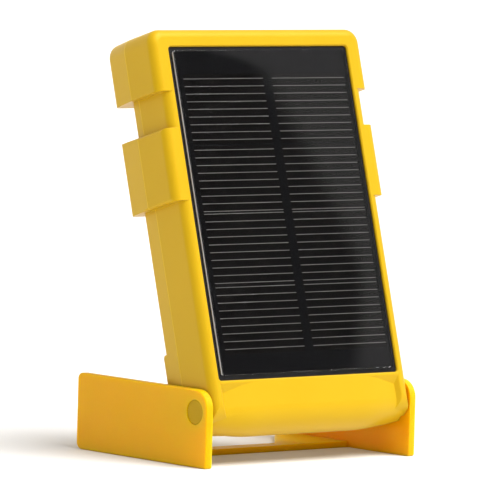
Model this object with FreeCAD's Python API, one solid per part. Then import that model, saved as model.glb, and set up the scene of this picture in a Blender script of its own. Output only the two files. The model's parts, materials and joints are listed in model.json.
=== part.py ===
import FreeCAD, Part

import math
import os

# Solar phone charger on a fold-out stand.
#
# The body is drawn upright in its own frame: X across, Y rearward and Z up the body, with the
# hinge axis along X through the origin. The stand is drawn flat about the same axis. Both are
# then placed: the body leans back by LEAN and everything rests on Z = 0.
# All sizes are in millimetres.

V = FreeCAD.Vector
X_DIR, Y_DIR, Z_DIR = V(1, 0, 0), V(0, 1, 0), V(0, 0, 1)

# ---------------------------------------------------------------- driving dimensions
LEAN = 16.2                 # degrees that the body leans back
HINGE_HEIGHT = 15.9         # hinge axis above the surface
ORIGIN_SHIFT = -24.17       # puts the origin at the middle of the footprint

BLOCK_HALF = 39.5           # half width over the side blocks
WAIST_HALF = 36.9           # half width at the strap groove and below the blocks
TAPER = 1.2                 # how far each rear side wall leans in
BODY_TOP = 110.9
TOP_BLOCK_Z = 92.5          # underside of the top block
MID_BLOCK_Z = (60.4, 81.65)

FACE_Y = -6.1               # front face
SPLIT_Y = 7.0               # plane where the two shells meet
BLOCK_BACK_Y = 16.8
GROOVE_BACK_Y = 11.1
LOWER_BACK_Y = 13.85        # recess that takes the folded stand's web
FOOT_BACK_Y = 15.5
FOOT_TOP_Z = 19.0
FOOT_HEEL_Z = -3.9          # lowest point of the foot's rear face

NOSE_R = 7.65               # the rolled lower edge, flush with the front face
NOSE_Y = FACE_Y + NOSE_R    # its axis, level with the hinge axis
NOSE_END_R = 5.85           # its radius at each end
NOSE_RIM_R = 2.0            # rounding of its end rims
NOSE_TURN = 23.0            # half length where it starts to thin
NOSE_BEND_R = 60.0          # how gently it does so
LIP_Z = 6.9                 # where the front face ends, under the window
LIP_SLOPE = (3.0, 6.5)      # below it the face falls back: depth over height
RAIL_END = (-1.8, 6.0)      # lower corner of each side rail's front: height and rounding

WALL = 1.8
CAVITY_HALF = 35.1
CAVITY_TOP = 108.4
FRONT_EDGE_R = 2.6
REAR_EDGE_R = 1.6
TOP_REAR_R = 2.2
TOP_CORNER_R = 4.4
BLOCK_CORNER_R = 0.9

WINDOW_HALF = 33.6
WINDOW_Z = (7.7, 105.5)
WINDOW_CORNER_R = 0.9
WINDOW_CHAMFER = 0.35
TRAY_Y = -3.4               # floor that the solar panel is bonded to
TRAY_BACK_Y = -1.9

PANEL_HALF = 32.2
PANEL_Z = (9.1, 104.3)
PANEL_CORNER_R = 0.8
SEALANT_Y = -5.3            # front of the black bead round the panel
TAPE_T = 0.4
COVER_T = 1.25
CELL_T = 0.2
RIBBON_HALF = 0.8
PANEL_FACE_Y = -6.4

CELL_COLUMNS = ((-29.6, 0.2), (3.4, 31.2))
CELL_ROWS = ((76.6, 97.4), (56.65, 76.2), (35.45, 56.45), (15.1, 35.25))

ARM_HALF = (37.2, 39.5)     # inner and outer face of each stand arm
ARM_Y = (-5.4, 54.5)
ARM_TOP = 6.5               # above the hinge axis
WEB_T = 1.8
BAR_Y = (22.2, 28.0)
BRACE_HALF = 14.0           # where the diagonal braces leave the cross bar
BRACE_TIP = 34.0            # where they reach the rear end of the arms

PIN_R = 2.4
PIN_FIT = 0.06              # radial running clearance in the front frame
PIN_HEAD_R = 3.6
PIN_HEAD_T = 1.0
HINGE_WALL_HALF = 33.1      # inner face of the wall that each pin passes through
ROLL_CAVITY_R = 3.9         # hollow round the hinge hardware
WASHER_R = 3.6
CLIP_R = 3.2

BOARD_Y = (2.9, 4.5)
BOARD_SCREW_POINTS = [(-25.5, 66.5), (-25.5, 91.0), (25.5, 91.0)]
BOARD_SCREW_R = 0.8
BOARD_POST_R = 2.2
BATTERY = ((-30, 30), (-1.1, 8.7), (13.6, 55.6))
LEAD_R = 0.6
LEAD_Z = 100.0
PORT_Z = 71.0               # middle height of both sockets
PORT_DOOR = ((-2.2, 12.6), (62.9, 79.1), 1.6)
DOOR_GAP = 0.3
SOCKET_GAP = 0.25
USB_A = (13.1, 5.7, 13.9, 0.35)
MICRO_USB = (7.5, 2.7, 5.2, 0.3)
SOCKET_MOUTH_X = 37.6

CONTROL_Z = 101.6
BUTTON_X = 17.0
BUTTON_R = 4.2
BUTTON_TRAVEL = 0.6
LIGHT_X = [-19.0, -12.5, -6.0, 0.5]
LIGHT_R = 1.1

SCREW_POINTS = [(-32.6, 99.8), (32.6, 99.8), (-32.6, 9.4), (32.6, 9.4)]
BOSS_R = 2.8
SCREW_R = 1.2
SCREW_HEAD_R = 2.4
SCREW_HEAD_DEPTH = 2.6      # how far each head is sunk
SEAL = (36.3, (-5.3, 109.9), 3.0)   # half width, heights and corner radius round its outside
SEAL_T = 0.7
SEAL_DEPTH = 0.8
HEEL_CAVITY_Z = -2.6        # floor of the hollow in the foot


# ---------------------------------------------------------------- helpers
def box(x, y, z):
    """A box from three (low, high) pairs."""
    return Part.makeBox(x[1] - x[0], y[1] - y[0], z[1] - z[0], V(x[0], y[0], z[0]))


def disc(radius, length, start, direction):
    return Part.makeCylinder(radius, length, start, direction)


def fuse(shapes):
    solid = shapes[0].fuse(shapes[1:]) if len(shapes) > 1 else shapes[0]
    return solid.removeSplitter()


def cut(base, tools):
    """Cut the tools away one by one, which copes with tools that overlap."""
    for tool in tools:
        base = base.cut(tool)
    return base.removeSplitter()


def rounded_outline(corners, place):
    """Closed wire through corners given as (u, v, radius); place turns (u, v) into a point."""
    count = len(corners)
    edges, ends = [], []
    for i, (u, v, radius) in enumerate(corners):
        before, after = corners[i - 1], corners[(i + 1) % count]
        here = FreeCAD.Vector(u, v, 0)
        to_before = (FreeCAD.Vector(before[0], before[1], 0) - here).normalize()
        to_after = (FreeCAD.Vector(after[0], after[1], 0) - here).normalize()
        if radius <= 0:
            ends.append((here, here, None))
            continue
        half = to_before.getAngle(to_after) / 2
        reach = radius / math.tan(half)
        middle = here + (to_before + to_after).normalize() * (radius / math.sin(half))
        nearest = middle + (here - middle).normalize() * radius
        ends.append((here + to_before * reach, here + to_after * reach, nearest))
    for i, (start, end, nearest) in enumerate(ends):
        if nearest is not None:
            edges.append(Part.Arc(place(start), place(nearest), place(end)).toShape())
        following = ends[(i + 1) % count][0]
        if (following - end).Length > 1e-6:
            edges.append(Part.LineSegment(place(end), place(following)).toShape())
    return Part.Wire(edges)


def prism_up(corners, z):
    """Extrude an X-Y outline up the body."""
    wire = rounded_outline(corners, lambda p: V(p.x, p.y, z[0]))
    return Part.Face(wire).extrude(V(0, 0, z[1] - z[0]))


def prism_back(corners, y):
    """Extrude an X-Z outline from front to back."""
    wire = rounded_outline(corners, lambda p: V(p.x, y[0], p.y))
    return Part.Face(wire).extrude(V(0, y[1] - y[0], 0))


def prism_across(corners, half, low=None):
    """Extrude a Y-Z outline across the body."""
    start = -half if low is None else low
    wire = rounded_outline(corners, lambda p: V(start, p.x, p.y))
    return Part.Face(wire).extrude(V(half - start, 0, 0))


def slab(half, z, radius, y):
    """A flat plate with rounded corners, facing forward."""
    low, high = z
    return prism_back([(-half, low, radius), (half, low, radius),
                       (half, high, radius), (-half, high, radius)], y)


def both_sides(solid):
    return [solid, solid.mirror(V(0, 0, 0), X_DIR)]


def group(solids):
    return Part.makeCompound(solids)


# ---------------------------------------------------------------- outer form
def front_section(half, z):
    corners = [(-half, SPLIT_Y, 0), (-half, FACE_Y, FRONT_EDGE_R),
               (half, FACE_Y, FRONT_EDGE_R), (half, SPLIT_Y, 0)]
    return prism_up(corners, z)


def rear_section(half, back, z):
    lean_in = TAPER * (back - SPLIT_Y) / (BLOCK_BACK_Y - SPLIT_Y)
    corners = [(-half, SPLIT_Y, 0), (half, SPLIT_Y, 0),
               (half - lean_in, back, REAR_EDGE_R), (-half + lean_in, back, REAR_EDGE_R)]
    return prism_up(corners, z)


def side_block(z):
    """A block that stands out at both sides, with its corners rounded as seen from the front."""
    block = fuse([front_section(BLOCK_HALF, z), rear_section(BLOCK_HALF, BLOCK_BACK_Y, z)])
    return block.common(slab(BLOCK_HALF, z, BLOCK_CORNER_R, (FACE_Y, BLOCK_BACK_Y)))


def round_rim(solid, y, radius):
    """Round the sides and top of the rim at y, whose rounded corners it follows."""
    rim = [e for e in solid.Edges
           if all(abs(v.Point.y - y) < 1e-6 for v in e.Vertexes)
           and any(v.Point.z > TOP_BLOCK_Z + 1 for v in e.Vertexes)]
    return solid.makeFillet(radius, rim)


def top_block():
    def outline(half, y):
        corners = [(-half, TOP_BLOCK_Z, 0), (half, TOP_BLOCK_Z, 0),
                   (half, BODY_TOP, TOP_CORNER_R), (-half, BODY_TOP, TOP_CORNER_R)]
        return rounded_outline(corners, lambda p: V(p.x, y, p.y))

    front = Part.makeLoft([outline(BLOCK_HALF, FACE_Y), outline(BLOCK_HALF, SPLIT_Y)], True, True)
    rear = Part.makeLoft([outline(BLOCK_HALF, SPLIT_Y),
                          outline(BLOCK_HALF - TAPER, BLOCK_BACK_Y)], True, True)
    return fuse([round_rim(front, FACE_Y, FRONT_EDGE_R), round_rim(rear, BLOCK_BACK_Y, TOP_REAR_R)])


def nose_rise(x):
    """How far the nose's outline has risen at x, past where it starts to thin."""
    return (NOSE_R - NOSE_END_R) * (x - NOSE_TURN) / (WAIST_HALF - NOSE_TURN)


def nose():
    """The rolled lower edge: a barrel that thins towards both ends."""
    profile = [(-WAIST_HALF, 0, 0), (WAIST_HALF, 0, 0), (WAIST_HALF, NOSE_END_R, NOSE_RIM_R),
               (NOSE_TURN, NOSE_R, NOSE_BEND_R), (-NOSE_TURN, NOSE_R, NOSE_BEND_R),
               (-WAIST_HALF, NOSE_END_R, NOSE_RIM_R)]
    face = Part.Face(rounded_outline(profile, lambda p: V(p.x, NOSE_Y - p.y, 0)))
    return face.revolve(V(0, NOSE_Y, 0), X_DIR, 360)


def nose_front():
    """Carries the nose's front straight up to the lip under the window."""
    end_y = NOSE_Y - NOSE_END_R
    return prism_up([(-WAIST_HALF, NOSE_Y, 0), (-WAIST_HALF, end_y, NOSE_RIM_R),
                     (-NOSE_TURN, FACE_Y, NOSE_BEND_R), (NOSE_TURN, FACE_Y, NOSE_BEND_R),
                     (WAIST_HALF, end_y, NOSE_RIM_R), (WAIST_HALF, NOSE_Y, 0)], (0, LIP_Z))


def rail_ends():
    """The side rails run on below the window, flare into the nose and turn under at its ends."""
    end_z, radius = RAIL_END
    flare_x = WINDOW_HALF - NOSE_R
    side = [(NOSE_Y, FOOT_TOP_Z, 0), (FACE_Y, FOOT_TOP_Z, 0), (FACE_Y, end_z, radius),
            (FACE_Y + 4.5, end_z - 3.0, 0), (NOSE_Y, end_z, 0)]
    section = [(WINDOW_HALF, FACE_Y, 0.8), (WAIST_HALF, FACE_Y, FRONT_EDGE_R), (WAIST_HALF, NOSE_Y, 0),
               (flare_x, NOSE_Y, 0)]
    rail = prism_across(side, WAIST_HALF, flare_x)
    return both_sides(rail.common(prism_up(section, (-NOSE_R, FOOT_TOP_Z))))


def foot():
    """The rear heel behind the nose, rising towards both ends as the nose does."""
    back, height = LIP_SLOPE
    outline = [(NOSE_Y, 0.4 - NOSE_R, 0), (FOOT_BACK_Y, FOOT_HEEL_Z, 1.5),
               (FOOT_BACK_Y, FOOT_TOP_Z - 1.6, 0.6), (LOWER_BACK_Y, FOOT_TOP_Z, 0),
               (FACE_Y, FOOT_TOP_Z, 0), (FACE_Y, LIP_Z, 0.5), (FACE_Y + back, LIP_Z - height, 0)]
    z = (-NOSE_R - 1, FOOT_TOP_Z)
    sides = fuse([front_section(WAIST_HALF, z), rear_section(WAIST_HALF, FOOT_BACK_Y, z)])
    end_z = nose_rise(BLOCK_HALF) - NOSE_R
    from_front = prism_back([(-BLOCK_HALF, end_z, 0), (-NOSE_TURN, -NOSE_R, NOSE_BEND_R),
                             (NOSE_TURN, -NOSE_R, NOSE_BEND_R), (BLOCK_HALF, end_z, 0),
                             (BLOCK_HALF, FOOT_TOP_Z, 0), (-BLOCK_HALF, FOOT_TOP_Z, 0)],
                            (FACE_Y - 1, FOOT_BACK_Y + 1))
    return prism_across(outline, WAIST_HALF).common(sides).common(from_front)


def outer_form():
    return fuse([front_section(WAIST_HALF, (FOOT_TOP_Z, TOP_BLOCK_Z + 1)),
                 rear_section(WAIST_HALF, LOWER_BACK_Y, (FOOT_TOP_Z, MID_BLOCK_Z[0] + 1)),
                 rear_section(WAIST_HALF, GROOVE_BACK_Y, (MID_BLOCK_Z[1] - 1, TOP_BLOCK_Z + 1)),
                 side_block(MID_BLOCK_Z), top_block(), foot(), nose(), nose_front()] + rail_ends())


# ---------------------------------------------------------------- shells
def port_door_pocket():
    (y, z, thick) = PORT_DOOR
    grown_y = (y[0] - DOOR_GAP, y[1] + DOOR_GAP)
    grown_z = (z[0] - DOOR_GAP, z[1] + DOOR_GAP)
    return box((BLOCK_HALF - thick - 0.1, BLOCK_HALF + 1), grown_y, grown_z)


def port_cuts():
    """Openings in the side wall for the flap and for both sockets."""
    reach = (CAVITY_HALF - 1, BLOCK_HALF)
    cuts = [port_door_pocket()]
    for (long, high, _, _), start in zip((USB_A, MICRO_USB), usb_places()):
        half = long / 2 + SOCKET_GAP
        y = (start - SOCKET_GAP, start + high + SOCKET_GAP)
        cuts.append(box(reach, y, (PORT_Z - half, PORT_Z + half)))
    return cuts


def seal_ring():
    """Square seal in a groove at the split, open only where the larger socket passes it."""
    half, (low, high), radius = SEAL
    y = (SPLIT_Y - SEAL_DEPTH, SPLIT_Y)
    inside = slab(half - SEAL_T, (low + SEAL_T, high - SEAL_T), radius - SEAL_T, y)
    return cut(slab(half, (low, high), radius, y), [inside] + port_cuts())


def window():
    """The opening for the solar panel, with a chamfered edge."""
    def outline(grow, y):
        half, low, high = WINDOW_HALF + grow, WINDOW_Z[0] - grow, WINDOW_Z[1] + grow
        radius = WINDOW_CORNER_R + grow
        return rounded_outline([(-half, low, radius), (half, low, radius), (half, high, radius),
                                (-half, high, radius)], lambda p: V(p.x, y, p.y))

    chamfer = Part.makeLoft([outline(WINDOW_CHAMFER + 1, FACE_Y - 1),
                             outline(0, FACE_Y + WINDOW_CHAMFER)], True, True)
    return fuse([slab(WINDOW_HALF, WINDOW_Z, WINDOW_CORNER_R, (FACE_Y - 1, TRAY_Y)), chamfer])


def front_frame():
    shell = outer_form().common(box((-50, 50), (-12, SPLIT_Y), (-12, 120)))
    cavity = box((-CAVITY_HALF, CAVITY_HALF), (TRAY_BACK_Y, SPLIT_Y + 1), (7.0, CAVITY_TOP))
    low_cavity = prism_across([(0, -ROLL_CAVITY_R, 0), (20, HEEL_CAVITY_Z, 0), (20, 8, 0),
                               (TRAY_BACK_Y, 8, 0), (-2.6, 3.0, 0), (-ROLL_CAVITY_R, 0, 0)],
                              HINGE_WALL_HALF)
    roll_cavity = disc(ROLL_CAVITY_R, 2 * HINGE_WALL_HALF, V(-HINGE_WALL_HALF, 0, 0), X_DIR)
    bores = disc(PIN_R + PIN_FIT, 100, V(-50, 0, 0), X_DIR)
    shell = cut(shell, [window(), cavity, low_cavity, roll_cavity, bores, lead_slot(), seal_ring()]
                + port_cuts())
    bosses = [disc(BOSS_R, SPLIT_Y - TRAY_BACK_Y + 0.5, V(x, TRAY_BACK_Y - 0.5, z), Y_DIR)
              for x, z in SCREW_POINTS]
    inside = box((-CAVITY_HALF - 1, CAVITY_HALF + 1), (TRAY_BACK_Y - 0.5, SPLIT_Y), (6.5, CAVITY_TOP + 1))
    shell = fuse([shell] + [boss.common(inside) for boss in bosses])
    holes = [disc(SCREW_R, 8.0, V(x, SPLIT_Y - 8.0, z), Y_DIR) for x, z in SCREW_POINTS]
    return cut(shell, holes + [seal_ring()])


def rear_cavities():
    """Hollows of the rear shell, each with a wall's thickness left behind it."""
    mid_low, mid_high = MID_BLOCK_Z[0] + WALL, MID_BLOCK_Z[1] - WALL
    top_low = TOP_BLOCK_Z + WALL
    body, heel = CAVITY_HALF - 0.6, HINGE_WALL_HALF
    hollows = [(heel, (HEEL_CAVITY_Z, 8), LOWER_BACK_Y), (body, (7, mid_low), LOWER_BACK_Y),
               (body, (mid_low, mid_high), BLOCK_BACK_Y), (body, (mid_high, top_low), GROOVE_BACK_Y),
               (body, (top_low, CAVITY_TOP), BLOCK_BACK_Y)]
    return [box((-half, half), (SPLIT_Y - 1, back - WALL), z) for half, z, back in hollows]


def screw_back(z):
    """The rear face that the screw at height z is sunk into."""
    return BLOCK_BACK_Y if z > MID_BLOCK_Z[0] else FOOT_BACK_Y


def rear_holes():
    """Holes for the screws, the button in its dish, and the light pipes."""
    holes = []
    for x, z in SCREW_POINTS:
        holes.append(disc(SCREW_R + 0.2, 30, V(x, SPLIT_Y - 1, z), Y_DIR))
        holes.append(disc(SCREW_HEAD_R + 0.3, 5, V(x, screw_back(z) - SCREW_HEAD_DEPTH, z), Y_DIR))
    holes.append(disc(BUTTON_R + 0.3, 10, V(BUTTON_X, SPLIT_Y + 4, CONTROL_Z), Y_DIR))
    holes += [disc(LIGHT_R, 10, V(x, SPLIT_Y + 4, CONTROL_Z), Y_DIR) for x in LIGHT_X]
    dish_start = V(BUTTON_X, BLOCK_BACK_Y - 0.6, CONTROL_Z)
    return holes + [Part.makeCone(BUTTON_R + 0.6, BUTTON_R + 1.8, 0.7, dish_start, Y_DIR)]


def rear_shell():
    solid = outer_form().common(box((-50, 50), (SPLIT_Y, 30), (-12, 120)))
    shell = cut(solid, rear_cavities() + port_cuts())
    bosses = [disc(BOSS_R + 1.0, screw_back(z) - SPLIT_Y - 1, V(x, SPLIT_Y, z), Y_DIR)
              for x, z in SCREW_POINTS]
    shell = fuse([shell] + [boss.common(solid) for boss in bosses])
    return cut(shell, rear_holes())


# ---------------------------------------------------------------- solar panel
def panel_layers():
    """(low, high) in Y of the tape, the backing board, the cells and the clear cover."""
    cover = (PANEL_FACE_Y, PANEL_FACE_Y + COVER_T)
    tape = (TRAY_Y - TAPE_T, TRAY_Y)
    return tape, (cover[1], tape[0]), (cover[1], cover[1] + CELL_T), cover


def cell_tiles():
    _, _, cells, _ = panel_layers()
    return [box(column, cells, row) for column in CELL_COLUMNS for row in CELL_ROWS]


def cell_ribbons():
    """Flat copper ribbons that join the cells one after another, behind them."""
    _, _, cells, _ = panel_layers()
    ribbon_y = (cells[1], cells[1] + 0.15)
    middles = [sum(column) / 2 for column in CELL_COLUMNS]
    low, high = CELL_ROWS[-1][0] + 3, CELL_ROWS[0][1] - 3
    upright = [box((x - RIBBON_HALF, x + RIBBON_HALF), ribbon_y, (low, high)) for x in middles]
    bridge = box((middles[0] - RIBBON_HALF, middles[1] + RIBBON_HALF), ribbon_y, (low - 2, low))
    return fuse(upright + [bridge])


def panel_board():
    _, board, _, _ = panel_layers()
    base = slab(PANEL_HALF, PANEL_Z, PANEL_CORNER_R, board)
    return cut(base, cell_tiles() + [cell_ribbons()])


def panel_cover():
    _, _, _, cover = panel_layers()
    plate = slab(PANEL_HALF, PANEL_Z, PANEL_CORNER_R, cover)
    front_rim = [e for e in plate.Edges
                 if all(abs(v.Point.y - cover[0]) < 1e-6 for v in e.Vertexes)]
    return plate.makeFillet(0.45, front_rim)


def panel_tape():
    tape, _, _, _ = panel_layers()
    ring = slab(PANEL_HALF - 0.2, (PANEL_Z[0] + 0.2, PANEL_Z[1] - 0.2), 2.0, tape)
    hole = slab(PANEL_HALF - 6, (PANEL_Z[0] + 6, PANEL_Z[1] - 8), 2.0, tape)
    return cut(ring, [hole, lead_slot()])


def panel_sealant():
    """Black bead that fills the gap between the panel and the window's wall."""
    y = (TRAY_Y, SEALANT_Y)
    outer = slab(WINDOW_HALF, WINDOW_Z, WINDOW_CORNER_R, (y[1], y[0]))
    return outer.cut(slab(PANEL_HALF, PANEL_Z, PANEL_CORNER_R, (y[1], y[0])))


def lead_slot():
    """Slot through the tape and the tray floor for the two panel leads."""
    return box((-4, 4), (TRAY_Y - 1, TRAY_BACK_Y + 1), (LEAD_Z - 1.4, LEAD_Z + 1.4))


def panel_leads():
    _, board, _, _ = panel_layers()
    return group([disc(LEAD_R, BOARD_Y[0] - board[1], V(x, board[1], LEAD_Z), Y_DIR) for x in (-2.2, 2.2)])


# ---------------------------------------------------------------- electronics
def main_board():
    board = fuse([box((-29.5, 29.5), BOARD_Y, (62.6, 105.0)), box((29.4, 34.2), BOARD_Y, (63.0, 79.0))])
    posts = [disc(1.1, 4, V(x, BOARD_Y[0] - 1, z), Y_DIR) for x, z in BOARD_SCREW_POINTS]
    return cut(board, posts)


def board_posts():
    """Posts on the front frame that carry the main board."""
    length = BOARD_Y[0] - TRAY_BACK_Y
    posts, pilots = [], []
    for x, z in BOARD_SCREW_POINTS:
        posts.append(disc(BOARD_POST_R, length + 0.4, V(x, TRAY_BACK_Y - 0.4, z), Y_DIR))
        pilots.append(disc(BOARD_SCREW_R, length, V(x, TRAY_BACK_Y + 0.2, z), Y_DIR))
    return posts, pilots


def board_screws():
    screws = []
    for x, z in BOARD_SCREW_POINTS:
        shank = disc(BOARD_SCREW_R, BOARD_Y[1] - TRAY_BACK_Y - 1, V(x, TRAY_BACK_Y + 1, z), Y_DIR)
        head = disc(1.8, 1.1, V(x, BOARD_Y[1], z), Y_DIR)
        recess = box((x - 1.2, x + 1.2), (BOARD_Y[1] + 0.7, BOARD_Y[1] + 2), (z - 0.2, z + 0.2))
        screws.append(fuse([shank, head]).cut(recess))
    return group(screws)


def board_components():
    """Chips and a coil, two capacitors and a row of small parts, all on the board's rear face."""
    top = BOARD_Y[1]
    blocks = [(-14, 72, 7, 7, 1.2), (2, 70, 5, 6, 1.2), (-2, 84, 9, 9, 4.2), (12, 82, 6, 6, 3.0),
              (-18, 84, 5, 4, 1.6)]
    blocks += [(x, 77.05, 1.6, 0.9, 0.6) for x in range(-24, 8, 4)]
    solids = [box((x - wide / 2, x + wide / 2), (top, top + thick), (z - high / 2, z + high / 2))
              for x, z, wide, high, thick in blocks]
    solids += [disc(3.1, 4.4, V(x, top, z), Y_DIR) for x, z in ((13.5, 70), (19.0, 76.5))]
    return group(solids)


def usb_shell(size, y, reach):
    """A folded steel socket shell, open towards +X and closed at its inner end."""
    long, high, deep, wall = size
    x = (reach - deep, reach)
    z = (PORT_Z - long / 2, PORT_Z + long / 2)
    outer = box(x, (y, y + high), z)
    inner = box((x[0] + wall, x[1] + 1), (y + wall, y + high - wall), (z[0] + wall, z[1] - wall))
    return outer.cut(inner)


def usb_tongue(size, y, reach, thick):
    long, high, deep, wall = size
    back = box((reach - deep + wall, reach - deep + wall + 1.8), (y + wall, y + high - wall),
               (PORT_Z - long / 2 + wall, PORT_Z + long / 2 - wall))
    middle = y + high / 2
    blade = box((reach - deep + wall, reach - 1.4), (middle - thick / 2, middle + thick / 2),
                (PORT_Z - long / 2 + 1.0 + wall, PORT_Z + long / 2 - 1.0 - wall))
    return fuse([back, blade])


def power_switch():
    start = BOARD_Y[1]
    body = box((BUTTON_X - 3, BUTTON_X + 3), (start, start + 2.0), (CONTROL_Z - 3, CONTROL_Z + 3))
    return fuse([body, disc(1.6, 0.9, V(BUTTON_X, start + 1.9, CONTROL_Z), Y_DIR)])


def status_leds():
    y = (BOARD_Y[1], BOARD_Y[1] + 0.7)
    return group([box((x - 0.8, x + 0.8), y, (CONTROL_Z - 0.5, CONTROL_Z + 0.5)) for x in LIGHT_X])


def light_pipes():
    pipes = []
    for x in LIGHT_X:
        rod = disc(LIGHT_R, BLOCK_BACK_Y - BOARD_Y[1] - 0.8, V(x, BOARD_Y[1] + 0.8, CONTROL_Z), Y_DIR)
        collar = disc(1.7, 1.0, V(x, BLOCK_BACK_Y - WALL - 1.0, CONTROL_Z), Y_DIR)
        pipes.append(fuse([rod, collar]))
    return group(pipes)


def power_button():
    """A dished cap with a flange behind the wall and a stem that reaches to the switch."""
    cap_start, cap_end = 12.2, BLOCK_BACK_Y + 0.6
    stem_start = BOARD_Y[1] + 2.8 + BUTTON_TRAVEL + 0.15
    cap = disc(BUTTON_R, cap_end - cap_start, V(BUTTON_X, cap_start, CONTROL_Z), Y_DIR)
    rim = [e for e in cap.Edges if isinstance(e.Curve, Part.Circle) and e.Curve.Center.y > cap_end - 1]
    cap = cap.makeFillet(0.5, rim)
    flange = disc(BUTTON_R + 0.9, 1.0, V(BUTTON_X, BLOCK_BACK_Y - WALL - 1.1, CONTROL_Z), Y_DIR)
    stem = disc(1.4, cap_start + 0.8 - stem_start, V(BUTTON_X, stem_start, CONTROL_Z), Y_DIR)
    dish_r = 14.0
    dish = Part.makeSphere(dish_r, V(BUTTON_X, cap_end + dish_r - 0.3, CONTROL_Z))
    return cut(fuse([cap, flange, stem]), [dish])


def battery_cell():
    """A flat pouch, rounded along every edge but the four short ones."""
    pouch = box(*BATTERY)
    thickness = BATTERY[1][1] - BATTERY[1][0]
    return pouch.makeFillet(1.6, [e for e in pouch.Edges if e.Length > thickness + 1])


def battery_pad():
    return box((-27, 27), (TRAY_BACK_Y, BATTERY[1][0]), (17, 52))


def battery_board():
    return box((-13, 13), (BOARD_Y[1] - 1.0, BOARD_Y[1]), (BATTERY[2][1], BATTERY[2][1] + 4.8))


def battery_leads():
    """Two short wires from the protection board up to the main board."""
    return group([disc(LEAD_R, 8.0, V(x, BOARD_Y[1] + LEAD_R, 58.4), Z_DIR) for x in (-9.0, -5.5)])


# ---------------------------------------------------------------- port door
def port_door():
    """Rubber flap that turns on its rounded lower edge."""
    (y, z, thick) = PORT_DOOR
    half = thick / 2
    outer = BLOCK_HALF
    edge_r = half - 0.01
    outline = [(outer - thick, z[0], edge_r), (outer, z[0], edge_r), (outer, z[1], 0.4),
               (outer - thick, z[1], 0.3)]
    wire = rounded_outline(outline, lambda p: V(p.x, y[0], p.y))
    flap = Part.Face(wire).extrude(V(0, y[1] - y[0], 0))
    lift = disc(2.2, 2.0, V(outer - 0.55, (y[0] + y[1]) / 2, z[1] + 1.3), X_DIR)
    return flap.cut(lift)


# ---------------------------------------------------------------- stand
def arm_outline():
    """(Y, Z, corner radius) round one arm; its front upper corner is the roundest."""
    floor = -HINGE_HEIGHT
    return [(ARM_Y[0], floor, 0.8), (ARM_Y[1], floor, 2.2), (ARM_Y[1], ARM_TOP, 1.8),
            (ARM_Y[0], ARM_TOP, 5.4)]


def stand_arm():
    plate = prism_across(arm_outline(), ARM_HALF[1], ARM_HALF[0])
    rim = [e for e in plate.Edges if all(abs(v.Point.x - ARM_HALF[1]) < 1e-6 for v in e.Vertexes)]
    return plate.makeFillet(0.5, rim)


def stand():
    """Two arms joined by a flat web: a cross bar with a diagonal brace at each end."""
    arms = both_sides(stand_arm())
    web_z = (-HINGE_HEIGHT, -HINGE_HEIGHT + WEB_T)
    reach = ARM_HALF[0] + 0.5
    tip = ARM_Y[1] - 2.4
    bar = box((-reach, reach), BAR_Y, web_z)
    brace = prism_up([(BRACE_HALF, BAR_Y[1] - 0.5, 0), (BRACE_HALF, BAR_Y[1], 0), (BRACE_TIP, tip, 0),
                      (reach, tip, 0), (reach, BAR_Y[1] - 0.5, 0)], web_z)
    body = fuse(arms + [bar] + both_sides(brace))
    holes = [disc(PIN_R, 100, V(-50, 0, 0), X_DIR)]
    holes += both_sides(disc(PIN_HEAD_R, 5, V(ARM_HALF[1] - PIN_HEAD_T, 0, 0), X_DIR))
    return cut(body, holes)


def hinge_pin():
    """Headed pin with a groove for its clip, pushed in from outside the arm."""
    inner = 31.2
    shank = disc(PIN_R, ARM_HALF[1] - inner - 0.3, V(inner, 0, 0), X_DIR)
    head = disc(PIN_HEAD_R, PIN_HEAD_T - 0.15, V(ARM_HALF[1] - PIN_HEAD_T, 0, 0), X_DIR)
    rim = [e for e in head.Edges
           if isinstance(e.Curve, Part.Circle) and e.Curve.Center.x > ARM_HALF[1] - 0.3]
    head = head.makeFillet(0.4, rim)
    outside = disc(PIN_R + 1, 0.6, V(inner + 0.5, 0, 0), X_DIR)
    groove = outside.cut(disc(1.9, 0.6, V(inner + 0.5, 0, 0), X_DIR))
    return fuse([shank, head]).cut(groove)


def hinge_washer():
    start = V(32.4, 0, 0)
    return disc(WASHER_R, 0.5, start, X_DIR).cut(disc(PIN_R, 0.5, start, X_DIR))


def hinge_clip():
    start = V(31.75, 0, 0)
    ring = disc(CLIP_R, 0.5, start, X_DIR).cut(disc(1.9, 0.5, start, X_DIR))
    return ring.cut(box((31, 33), (-1.2, 1.2), (-5, 0)))


# ---------------------------------------------------------------- screws
def housing_screws():
    screws = []
    for x, z in SCREW_POINTS:
        back = screw_back(z) - SCREW_HEAD_DEPTH
        head = disc(SCREW_HEAD_R, 1.6, V(x, back, z), Y_DIR)
        shank = disc(SCREW_R, back - SPLIT_Y + 6, V(x, SPLIT_Y - 6, z), Y_DIR)
        recess = [box((x - 1.5, x + 1.5), (back + 0.8, back + 3), (z - 0.3, z + 0.3)),
                  box((x - 0.3, x + 0.3), (back + 0.8, back + 3), (z - 1.5, z + 1.5))]
        screws.append(cut(fuse([head, shank]), recess))
    return group(screws)


# ---------------------------------------------------------------- assembly
def front_frame_with_posts():
    posts, pilots = board_posts()
    return cut(fuse([front_frame()] + posts), pilots)


def usb_places():
    """Lowest Y of each socket: one on the rear face of the board, one on its front face."""
    return BOARD_Y[1], BOARD_Y[0] - MICRO_USB[1]


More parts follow.
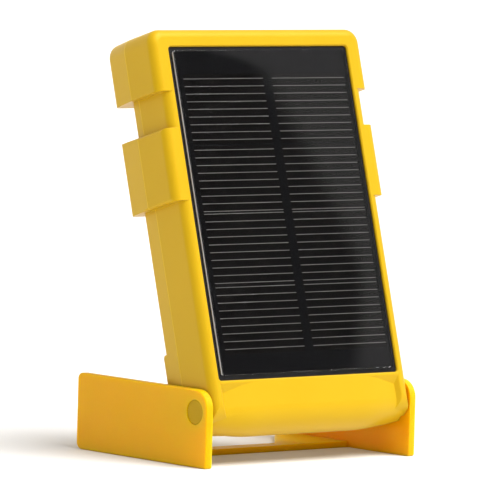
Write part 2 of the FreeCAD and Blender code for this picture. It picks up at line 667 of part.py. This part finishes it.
def body_nodes():
    usb_y, micro_y = usb_places()
    return {
        "front_frame": front_frame_with_posts(),
        "rear_shell": rear_shell(),
        "housing_seal": seal_ring(),
        "panel_cover": panel_cover(),
        "solar_cells": group(cell_tiles()),
        "cell_ribbons": cell_ribbons(),
        "panel_board": panel_board(),
        "panel_tape": panel_tape(),
        "panel_sealant": panel_sealant(),
        "panel_leads": panel_leads(),
        "main_board": main_board(),
        "board_components": board_components(),
        "board_screws": board_screws(),
        "usb_a_socket": usb_shell(USB_A, usb_y, SOCKET_MOUTH_X),
        "usb_a_tongue": usb_tongue(USB_A, usb_y, SOCKET_MOUTH_X, 1.9),
        "micro_usb_socket": usb_shell(MICRO_USB, micro_y, SOCKET_MOUTH_X),
        "micro_usb_tongue": usb_tongue(MICRO_USB, micro_y, SOCKET_MOUTH_X, 0.7),
        "power_switch": power_switch(),
        "status_leds": status_leds(),
        "light_pipes": light_pipes(),
        "power_button": power_button(),
        "battery_cell": battery_cell(),
        "battery_pad": battery_pad(),
        "battery_board": battery_board(),
        "battery_leads": battery_leads(),
        "housing_screws": housing_screws(),
        "port_door": port_door(),
    }


def stand_nodes():
    pins = both_sides(hinge_pin())
    return {
        "stand": stand(),
        "hinge_pin_right": pins[0],
        "hinge_pin_left": pins[1],
        "hinge_washers": group(both_sides(hinge_washer())),
        "hinge_clips": group(both_sides(hinge_clip())),
    }


def place(shape, lean):
    placed = shape.copy()
    placed.rotate(V(0, 0, 0), X_DIR, -lean)
    placed.translate(V(0, ORIGIN_SHIFT, HINGE_HEIGHT))
    return placed


def main():
    os.makedirs("parts", exist_ok=True)
    placed = {name: place(shape, LEAN) for name, shape in body_nodes().items()}
    placed.update({name: place(shape, 0) for name, shape in stand_nodes().items()})
    for name, shape in placed.items():
        shape.exportStep("parts/" + name + ".step")
        solids = shape.Solids
        print(name, "solids", len(solids), "valid", all(s.isValid() for s in solids),
              "volume %.1f" % shape.Volume)
    whole = Part.makeCompound(list(placed.values())).BoundBox
    print("X %.2f %.2f  Y %.2f %.2f  Z %.2f %.2f"
          % (whole.XMin, whole.XMax, whole.YMin, whole.YMax, whole.ZMin, whole.ZMax))


main()
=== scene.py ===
import json
import math

import bmesh
import bpy
from mathutils import Matrix, Vector


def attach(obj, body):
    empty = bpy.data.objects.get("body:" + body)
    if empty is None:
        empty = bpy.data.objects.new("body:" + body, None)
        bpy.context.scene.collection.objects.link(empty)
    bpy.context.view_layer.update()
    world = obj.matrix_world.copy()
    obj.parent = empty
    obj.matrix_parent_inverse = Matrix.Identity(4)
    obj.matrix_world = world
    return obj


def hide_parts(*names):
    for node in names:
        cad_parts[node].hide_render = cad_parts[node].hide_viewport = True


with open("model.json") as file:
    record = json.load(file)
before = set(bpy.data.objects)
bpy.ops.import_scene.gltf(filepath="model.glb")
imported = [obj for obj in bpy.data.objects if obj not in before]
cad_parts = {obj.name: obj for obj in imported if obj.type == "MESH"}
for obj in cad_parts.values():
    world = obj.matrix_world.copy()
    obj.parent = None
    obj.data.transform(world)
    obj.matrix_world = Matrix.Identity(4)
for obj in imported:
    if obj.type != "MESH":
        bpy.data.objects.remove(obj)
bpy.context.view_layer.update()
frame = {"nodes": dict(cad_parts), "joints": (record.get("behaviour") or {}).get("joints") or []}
nodes = frame["nodes"]
joints = {joint["name"]: joint for joint in frame["joints"]}
MM = 0.001

SOFT_EDGE = 0.25 * MM       # how far moulded edges look rounded
FINE_EDGE = 0.12 * MM       # the same for small machined parts
SEAM_HIGHLIGHT_HALF = 0.3 * MM        # half width of the painted highlight line where the shells meet
SEAM_HIGHLIGHT_STRENGTH = 0.55
SMOOTH_ANGLE = math.radians(35)
COVER_RADIUS = 0.8 * MM     # corner radius of the clear slab, as in the CAD


# ---------------------------------------------------------------- the body's own frame
# X across, Y rearward and Z up the leaning body, with the hinge axis through the origin.
def body_frame():
    inward = Vector(joints["button_press"]["axis"])
    back = -inward.normalized()
    across = Vector((1, 0, 0))
    up = across.cross(back)
    turn = Matrix((across, back, up)).transposed().to_4x4()
    return Matrix.Translation(Vector(joints["stand_hinge"]["pos_m"])) @ turn


BODY = body_frame()
TO_BODY = BODY.inverted()


def body_points(name):
    """A CAD node's vertices in the body's own frame, in metres."""
    return [TO_BODY @ v.co for v in nodes[name].data.vertices]


def body_box(name):
    """Lowest and highest corner of a CAD node in the body's own frame."""
    points = body_points(name)
    low = Vector([min(p[i] for p in points) for i in range(3)])
    high = Vector([max(p[i] for p in points) for i in range(3)])
    return low, high


# ---------------------------------------------------------------- node materials
class Material:
    """A Principled material with small helpers for its procedural nodes."""

    def __init__(self, name):
        self.data = bpy.data.materials.new(name)
        self.data.use_nodes = True
        self.tree = self.data.node_tree
        self.shader = self.tree.nodes["Principled BSDF"]
        self.place = self.add("ShaderNodeTexCoord").outputs["Object"]

    def add(self, kind, **settings):
        node = self.tree.nodes.new(kind)
        for key, value in settings.items():
            if key in node.inputs:
                node.inputs[key].default_value = value
            else:
                setattr(node, key, value)
        return node

    def link(self, source, target):
        self.tree.links.new(source, target)

    def set(self, **values):
        for key, value in values.items():
            self.shader.inputs[key.replace("_", " ")].default_value = value

    def noise(self, scale, detail=3.0, stretch=None):
        node = self.add("ShaderNodeTexNoise", Scale=scale, Detail=detail)
        source = self.place
        if stretch:
            mapping = self.add("ShaderNodeMapping", Scale=stretch)
            self.link(source, mapping.inputs["Vector"])
            source = mapping.outputs["Vector"]
        self.link(source, node.inputs["Vector"])
        return node.outputs["Fac"]

    def ramp(self, factor, stops):
        """Blend between two (position, colour) stops."""
        node = self.add("ShaderNodeValToRGB")
        for element, (position, colour) in zip(node.color_ramp.elements, stops):
            element.position = position
            element.color = (*colour, 1.0)
        self.link(factor, node.inputs["Fac"])
        return node.outputs["Color"]

    def between(self, factor, low, high):
        node = self.add("ShaderNodeMapRange")
        node.inputs["To Min"].default_value = low
        node.inputs["To Max"].default_value = high
        self.link(factor, node.inputs["Value"])
        return node.outputs["Result"]

    def paint_seam_highlight(self, seam, colour):
        """Paint a highlight into a colour: a fine lighter line where the two shells meet; seam is
        (direction, offset).
        """
        direction, offset = seam
        along = self.add("ShaderNodeVectorMath", operation="DOT_PRODUCT")
        along.inputs[1].default_value = direction
        self.link(self.place, along.inputs[0])
        away = self.add("ShaderNodeMath", operation="SUBTRACT")
        away.inputs[1].default_value = offset
        self.link(along.outputs["Value"], away.inputs[0])
        size = self.add("ShaderNodeMath", operation="ABSOLUTE")
        self.link(away.outputs["Value"], size.inputs[0])
        line = self.add("ShaderNodeMapRange", interpolation_type="SMOOTHSTEP")
        line.inputs["From Max"].default_value = SEAM_HIGHLIGHT_HALF
        line.inputs["To Min"].default_value = SEAM_HIGHLIGHT_STRENGTH
        line.inputs["To Max"].default_value = 0.0
        self.link(size.outputs["Value"], line.inputs["Value"])
        mix = self.add("ShaderNodeMix", data_type="RGBA", blend_type="SCREEN")
        self.link(line.outputs["Result"], mix.inputs["Factor"])
        self.link(colour, mix.inputs["A"])
        self.link(colour, mix.inputs["B"])
        return mix.outputs["Result"]

    def soft_edges(self, radius):
        return self.add("ShaderNodeBevel", samples=6, Radius=radius).outputs["Normal"]

    def bump(self, height, strength, distance, normal=None):
        node = self.add("ShaderNodeBump", Strength=strength, Distance=distance)
        self.link(height, node.inputs["Height"])
        if normal is not None:
            self.link(normal, node.inputs["Normal"])
        return node.outputs["Normal"]


def moulded_plastic(name, dark, light, roughness, sheen, glow=0.0, glow_radius=(1, 0.5, 0.1), seam=None):
    """Moulded plastic: faint flow marks in its colour, a fine surface grain, soft edges and, where a
    seam is given, a painted highlight along it.
    """
    m = Material(name)
    colour = m.ramp(m.noise(26.0, 2.0), [(0.3, dark), (0.7, light)])
    # painted highlight: a fine lighter line along the seam between the shells
    if seam:
        colour = m.paint_seam_highlight(seam, colour)
    m.link(colour, m.shader.inputs["Base Color"])
    m.link(m.between(m.noise(420.0), roughness - 0.05, roughness + 0.05),
           m.shader.inputs["Roughness"])
    grain = m.bump(m.noise(1500.0, 2.0), 0.12, 0.00004, m.soft_edges(SOFT_EDGE))
    m.link(grain, m.shader.inputs["Normal"])
    m.set(IOR=1.4, Specular_Tint=sheen)
    if glow:
        m.set(Subsurface_Weight=glow, Subsurface_Scale=0.001)
        m.shader.inputs["Subsurface Radius"].default_value = glow_radius
    return m.data


def dark_cells():
    m = Material("cell_silicon")
    grain = m.noise(240.0, 4.0)
    m.link(m.ramp(grain, [(0.25, (0.0022, 0.0018, 0.0018)), (0.75, (0.0045, 0.0036, 0.0030))]),
           m.shader.inputs["Base Color"])
    m.link(m.between(m.noise(900.0), 0.34, 0.46), m.shader.inputs["Roughness"])
    m.set(Specular_IOR_Level=0.04)
    return m.data


def printed_silver():
    m = Material("printed_silver")
    m.link(m.ramp(m.noise(3000.0), [(0.3, (0.14, 0.135, 0.13)), (0.7, (0.22, 0.21, 0.20))]),
           m.shader.inputs["Base Color"])
    m.link(m.between(m.noise(5000.0), 0.45, 0.6), m.shader.inputs["Roughness"])
    return m.data


def clear_cover():
    m = Material("clear_cover")
    m.set(Base_Color=(0.97, 0.97, 0.98, 1), Transmission_Weight=1.0, IOR=1.3, Roughness=0.0)
    return m.data


def painted_reflection_edge():
    m = Material("painted_reflection_edge")
    # pale grey streaks: a painted reflection of the bright surround on the slab's side edges
    streaks = m.noise(900.0, 3.0, (1, 1, 0.1))
    m.link(m.ramp(streaks, [(0.3, (0.50, 0.50, 0.53)), (0.7, (0.66, 0.66, 0.68))]),
           m.shader.inputs["Base Color"])
    m.link(m.between(m.noise(2500.0), 0.25, 0.4), m.shader.inputs["Roughness"])
    return m.data


def speckled(name, dark, light, roughness, scale=1200.0, metal=0.0, strength=0.2, stretch=None,
             shine=0.5):
    """Plain engineering surface with a fine variation in colour, gloss and height."""
    m = Material(name)
    speckle = m.noise(scale, 4.0, stretch)
    m.link(m.ramp(speckle, [(0.3, dark), (0.7, light)]), m.shader.inputs["Base Color"])
    m.link(m.between(m.noise(scale * 0.6, 3.0, stretch), roughness - 0.08, roughness + 0.08),
           m.shader.inputs["Roughness"])
    m.link(m.bump(speckle, strength, 0.00003, m.soft_edges(FINE_EDGE)), m.shader.inputs["Normal"])
    m.set(Metallic=metal, Specular_IOR_Level=shine)
    return m.data


def light_pipe():
    m = Material("light_pipe")
    m.link(m.ramp(m.noise(1500.0), [(0.3, (0.55, 0.60, 0.58)), (0.7, (0.72, 0.77, 0.74))]),
           m.shader.inputs["Base Color"])
    m.set(Transmission_Weight=0.6, Roughness=0.25, IOR=1.49)
    return m.data


def assign(material, *names):
    for name in names:
        slots = nodes[name].data.materials
        slots.clear()
        slots.append(material)


def dress_shells():
    back = BODY.col[1].xyz
    # plane of the shells' seam, where the yellow plastic gets a painted highlight line
    split = body_box("rear_shell")[0].y * back
    seam = (back, (BODY.translation + split).dot(back))
    sheen = (1.0, 0.72, 0.16, 1)
    yellow = moulded_plastic("yellow_abs", (0.545, 0.330, 0.007), (0.575, 0.352, 0.010), 0.36, sheen,
                             0.1, seam=seam)
    arm = moulded_plastic("yellow_translucent", (0.74, 0.405, 0.002), (0.78, 0.43, 0.003), 0.5, sheen,
                          1.0, (4.0, 2.4, 0.1))
    pin = moulded_plastic("yellow_pin", (0.44, 0.26, 0.001), (0.47, 0.28, 0.002), 0.55, sheen)
    assign(yellow, "front_frame", "rear_shell")
    assign(arm, "stand")
    assign(pin, "hinge_pin_left", "hinge_pin_right")


def dress_panel():
    laminate = speckled("black_laminate", (0.0025, 0.0025, 0.003), (0.005, 0.005, 0.006), 0.5,
                        shine=0.04)
    sealant = speckled("black_sealant", (0.006, 0.006, 0.007), (0.012, 0.011, 0.011), 0.5, shine=0.15)
    assign(dark_cells(), "solar_cells")
    assign(laminate, "panel_board", "panel_tape")
    assign(sealant, "panel_sealant")


def dress_rubber_and_steel():
    rubber = speckled("black_rubber", (0.016, 0.016, 0.017), (0.028, 0.028, 0.030), 0.72, 2500.0,
                      strength=0.5)
    button = speckled("button_plastic", (0.020, 0.020, 0.022), (0.034, 0.034, 0.036), 0.5, 2600.0,
                      strength=0.5)
    steel = speckled("steel", (0.42, 0.42, 0.43), (0.60, 0.60, 0.61), 0.32, 900.0, 1.0, 0.15,
                     (1, 12, 12))
    assign(rubber, "port_door", "housing_seal", "battery_pad")
    assign(button, "power_button")
    assign(steel, "housing_screws", "board_screws", "usb_a_socket", "micro_usb_socket",
           "hinge_washers", "hinge_clips")


def dress_electronics():
    board = speckled("solder_mask", (0.008, 0.11, 0.035), (0.012, 0.16, 0.05), 0.35, 500.0)
    chips = speckled("chip_black", (0.012, 0.012, 0.013), (0.03, 0.03, 0.03), 0.55)
    nylon = speckled("white_nylon", (0.62, 0.62, 0.60), (0.74, 0.74, 0.72), 0.45)
    copper = speckled("tinned_copper", (0.50, 0.38, 0.28), (0.66, 0.56, 0.46), 0.35, 800.0, 1.0)
    foil = speckled("pouch_foil", (0.52, 0.52, 0.54), (0.66, 0.66, 0.68), 0.38, 700.0, 0.6)
    wire = speckled("lead_red", (0.36, 0.010, 0.008), (0.5, 0.018, 0.012), 0.5)
    assign(board, "main_board", "battery_board")
    assign(chips, "board_components", "micro_usb_tongue", "power_switch")
    assign(nylon, "usb_a_tongue", "status_leds")
    assign(copper, "cell_ribbons")
    assign(foil, "battery_cell")
    assign(wire, "panel_leads", "battery_leads")
    assign(light_pipe(), "light_pipes")


# ---------------------------------------------------------------- mesh pieces in the body's frame
def finish_mesh(name, mesh, material):
    """Turn a mesh drawn in the body's frame into an object in the row's frame."""
    data = bpy.data.meshes.new(name)
    bmesh.ops.recalc_face_normals(mesh, faces=mesh.faces)
    mesh.to_mesh(data)
    mesh.free()
    data.transform(BODY)
    data.materials.append(material)
    piece = bpy.data.objects.new(name, data)
    bpy.context.scene.collection.objects.link(piece)
    data.polygons.foreach_set("use_smooth", [True] * len(data.polygons))
    data.set_sharp_from_angle(angle=SMOOTH_ANGLE)
    return piece


def rounded_ring(mesh, low, high, inset, depth):
    """A closed loop round the slab's outline, pulled in by inset, at Y = depth."""
    steps, smallest = 10, 0.1 * MM
    r = max(COVER_RADIUS - inset, smallest)
    left, right = low.x + inset + r, high.x - inset - r
    bottom, top = low.z + inset + r, high.z - inset - r
    loop = []
    for cx, cz, start in ((right, bottom, -90), (right, top, 0), (left, top, 90), (left, bottom, 180)):
        for step in range(steps + 1):
            angle = math.radians(start + 90 * step / steps)
            loop.append(mesh.verts.new((cx + r * math.cos(angle), depth, cz + r * math.sin(angle))))
    return loop


def bridge(mesh, loops):
    for first, second in zip(loops, loops[1:]):
        count = len(first)
        for i in range(count):
            j = (i + 1) % count
            mesh.faces.new((first[i], first[j], second[j], second[i]))


def make_cover():
    """Clear slab with a rolled front edge, a hair in front of the cells.

    The margin rings just inside both flat faces keep their normals flat."""
    low, high = body_box("panel_cover")
    roll, steps = 0.12 * MM, 4
    clearance, margin = 0.07 * MM, 0.1 * MM
    mesh = bmesh.new()
    back = high.y - clearance
    rings = [(margin, back), (0.0, back)]
    for step in range(steps + 1):
        angle = math.radians(90 * step / steps)
        rings.append((roll * (1 - math.cos(angle)), low.y + roll * (1 - math.sin(angle))))
    rings.append((roll + margin, low.y))
    loops = [rounded_ring(mesh, low, high, inset, depth) for inset, depth in rings]
    bridge(mesh, loops)
    mesh.faces.new(loops[0])
    mesh.faces.new(loops[-1])
    piece = finish_mesh("cover_slab", mesh, clear_cover())
    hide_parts("panel_cover")
    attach(piece, "housing")
    return low, high


def make_cover_edges(low, high):
    """Strips on the clear slab's side edges, coloured pale grey as a painted reflection of the bright
    surround.
    """
    mesh = bmesh.new()
    steps, proud, sweep = 8, 0.03 * MM, math.radians(55)
    near, far = low.y + 0.42 * MM, high.y - 0.1 * MM
    thinnest, thickness = 0.02, 0.02 * MM
    for side in (-1, 1):
        edge_x = high.x if side > 0 else low.x
        outline = []
        for centre_z, turn in ((low.z + COVER_RADIUS, -1), (high.z - COVER_RADIUS, 1)):
            angles = [sweep * step / steps for step in range(steps + 1)]
            if turn < 0:
                angles.reverse()
            for angle in angles:
                cosine = math.cos(angle)
                x = edge_x - side * COVER_RADIUS * (1 - cosine) + side * proud * cosine
                z = centre_z + turn * (COVER_RADIUS + proud) * math.sin(angle)
                depth = max(1 - (angle / sweep) ** 2, thinnest) * (far - near)
                outline.append((x, z, depth))
        front = [mesh.verts.new((x, near, z)) for x, z, _ in outline]
        back = [mesh.verts.new((x, near + depth, z)) for x, z, depth in outline]
        for i in range(len(outline) - 1):
            mesh.faces.new((front[i], front[i + 1], back[i + 1], back[i]))
    piece = finish_mesh("cover_edges", mesh, painted_reflection_edge())
    solid = piece.modifiers.new("thickness", "SOLIDIFY")
    solid.thickness = thickness
    solid.offset = 0
    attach(piece, "housing")


def add_box(mesh, low, high):
    made = bmesh.ops.create_cube(mesh, size=1.0)
    size, middle = high - low, (high + low) / 2
    for v in made["verts"]:
        v.co = Vector((v.co.x * size.x, v.co.y * size.y, v.co.z * size.z)) + middle


def cell_bounds():
    """(low, high) of each cell, top row first and left column first."""
    cells = []
    corners = body_points("solar_cells")
    xs = sorted({round(c.x, 5) for c in corners})
    zs = sorted({round(c.z, 5) for c in corners}, reverse=True)
    front = min(c.y for c in corners)
    for row in range(len(zs) // 2):
        for column in range(len(xs) // 2):
            cells.append((Vector((xs[2 * column], front, zs[2 * row + 1])),
                          Vector((xs[2 * column + 1], front, zs[2 * row]))))
    return cells


def make_fingers():
    """Thin printed silver lines across every cell."""
    pitch, width, height, end_gap = 2.252 * MM, 0.17 * MM, 0.025 * MM, 0.1 * MM
    counts = (9, 9, 10, 9)
    first_below_top = (1.4 * MM, 1.22 * MM, 0.25 * MM, 0.58 * MM)
    mesh = bmesh.new()
    cells = cell_bounds()
    per_row = len(cells) // len(counts)
    for i, (low, high) in enumerate(cells):
        row = i // per_row
        for line in range(counts[row]):
            z = high.z - first_below_top[row] - line * pitch
            add_box(mesh, Vector((low.x + end_gap, low.y - height, z - width / 2)),
                    Vector((high.x - end_gap, low.y, z + width / 2)))
    piece = finish_mesh("cell_fingers", mesh, printed_silver())
    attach(piece, "housing")


# ---------------------------------------------------------------- stage, light and camera
def make_floor():
    """Pale sweep: flat under the object and curved up far behind it."""
    mesh = bmesh.new()
    half, near, far, rise = 6.0, -5.0, 5.0, 3.0
    line = [(near, 0.0), (far, 0.0)]
    for degrees in range(10, 91, 10):
        angle = math.radians(degrees)
        line.append((far + rise * math.sin(angle), rise * (1 - math.cos(angle))))
    rows = [[mesh.verts.new((x, y, z)) for x in (-half, half)] for y, z in line]
    for first, second in zip(rows, rows[1:]):
        mesh.faces.new((first[0], first[1], second[1], second[0]))
    data = bpy.data.meshes.new("floor")
    mesh.to_mesh(data)
    mesh.free()
    data.polygons.foreach_set("use_smooth", [True] * len(data.polygons))
    m = Material("paper")
    m.link(m.ramp(m.noise(3.0, 2.0), [(0.3, (0.80, 0.795, 0.79)), (0.7, (0.82, 0.815, 0.81))]),
           m.shader.inputs["Base Color"])
    m.link(m.between(m.noise(40.0), 0.85, 0.95), m.shader.inputs["Roughness"])
    m.set(Specular_IOR_Level=0.1)
    data.materials.append(m.data)
    floor = bpy.data.objects.new("floor", data)
    bpy.context.scene.collection.objects.link(floor)


def make_world():
    """Even white surround with one dark patch, where three discs overlap, for the panel to mirror."""
    bright, dark = 0.55, 0.07
    world = bpy.data.worlds.new("studio")
    world.use_nodes = True
    tree = world.node_tree
    direction = tree.nodes.new("ShaderNodeTexCoord").outputs["Generated"]

    def inside(centre, outer, inner):
        """1 within a disc about a direction and 0 outside it, fading between two angles in degrees."""
        towards = tree.nodes.new("ShaderNodeVectorMath")
        towards.operation = "DOT_PRODUCT"
        towards.inputs[1].default_value = Vector(centre).normalized()
        tree.links.new(direction, towards.inputs[0])
        edge = tree.nodes.new("ShaderNodeMapRange")
        edge.interpolation_type = "SMOOTHSTEP"
        edge.inputs["From Min"].default_value = math.cos(math.radians(outer))
        edge.inputs["From Max"].default_value = math.cos(math.radians(inner))
        tree.links.new(towards.outputs["Value"], edge.inputs["Value"])
        return edge.outputs["Result"]

    def times(first, second):
        product = tree.nodes.new("ShaderNodeMath")
        product.operation = "MULTIPLY"
        tree.links.new(first, product.inputs[0])
        tree.links.new(second, product.inputs[1])
        return product.outputs["Value"]

    # Each disc's rim is one edge of the patch, as the panel mirrors it towards the camera.
    diagonal = inside((0.388, -0.870, 0.300), 19.03, 18.74)
    right = inside((0.367, -0.820, 0.437), 19.22, 18.98)
    top = inside((0.521, -0.846, 0.106), 19.73, 19.63)
    level = tree.nodes.new("ShaderNodeMapRange")
    level.inputs["To Min"].default_value = bright
    level.inputs["To Max"].default_value = dark
    tree.links.new(times(times(diagonal, right), top), level.inputs["Value"])
    tree.links.new(level.outputs["Result"], tree.nodes["Background"].inputs["Strength"])
    tree.nodes["Background"].inputs["Color"].default_value = (1.0, 0.985, 0.96, 1)
    bpy.context.scene.world = world


def sun(name, towards, strength, spread):
    """A soft lamp in direction towards, spread degrees wide."""
    data = bpy.data.lights.new(name, "SUN")
    data.energy = strength
    data.angle = math.radians(spread)
    lamp = bpy.data.objects.new(name, data)
    lamp.rotation_euler = Vector(towards).to_track_quat("Z", "Y").to_euler()
    bpy.context.scene.collection.objects.link(lamp)


def make_light():
    make_world()
    sun("key", (0.28, -0.48, 0.83), 4.7, 50)


def make_camera():
    azimuth, elevation, roll = math.radians(-39.65), math.radians(4.255), math.radians(1.57)
    distance, aim_right, aim_up = 1.6999, -0.01595, 0.06073
    sensor_width, focal_over_width = 36, 11.79
    back = Vector((math.sin(azimuth) * math.cos(elevation), -math.cos(azimuth) * math.cos(elevation),
                   math.sin(elevation)))
    right = Vector((math.cos(azimuth), math.sin(azimuth), 0))
    up = back.cross(right)
    turned_right = right * math.cos(roll) + up * math.sin(roll)
    turned_up = up * math.cos(roll) - right * math.sin(roll)
    hinge = Vector(joints["stand_hinge"]["pos_m"])
    target = Vector((hinge.x, hinge.y, 0)) + right * aim_right + Vector((0, 0, aim_up))
    data = bpy.data.cameras.new("camera")
    data.sensor_width = sensor_width
    data.lens = focal_over_width * sensor_width
    data.clip_start, data.clip_end = 0.05, 60
    camera = bpy.data.objects.new("camera", data)
    turn = Matrix((turned_right, turned_up, back)).transposed().to_4x4()
    camera.matrix_world = Matrix.Translation(target + back * distance) @ turn
    bpy.context.scene.collection.objects.link(camera)
    bpy.context.scene.camera = camera


bpy.context.scene.view_settings.view_transform = "Standard"
make_camera()
make_floor()
make_light()
dress_shells()
dress_panel()
dress_rubber_and_steel()
dress_electronics()
cover_low, cover_high = make_cover()
make_cover_edges(cover_low, cover_high)
make_fingers()
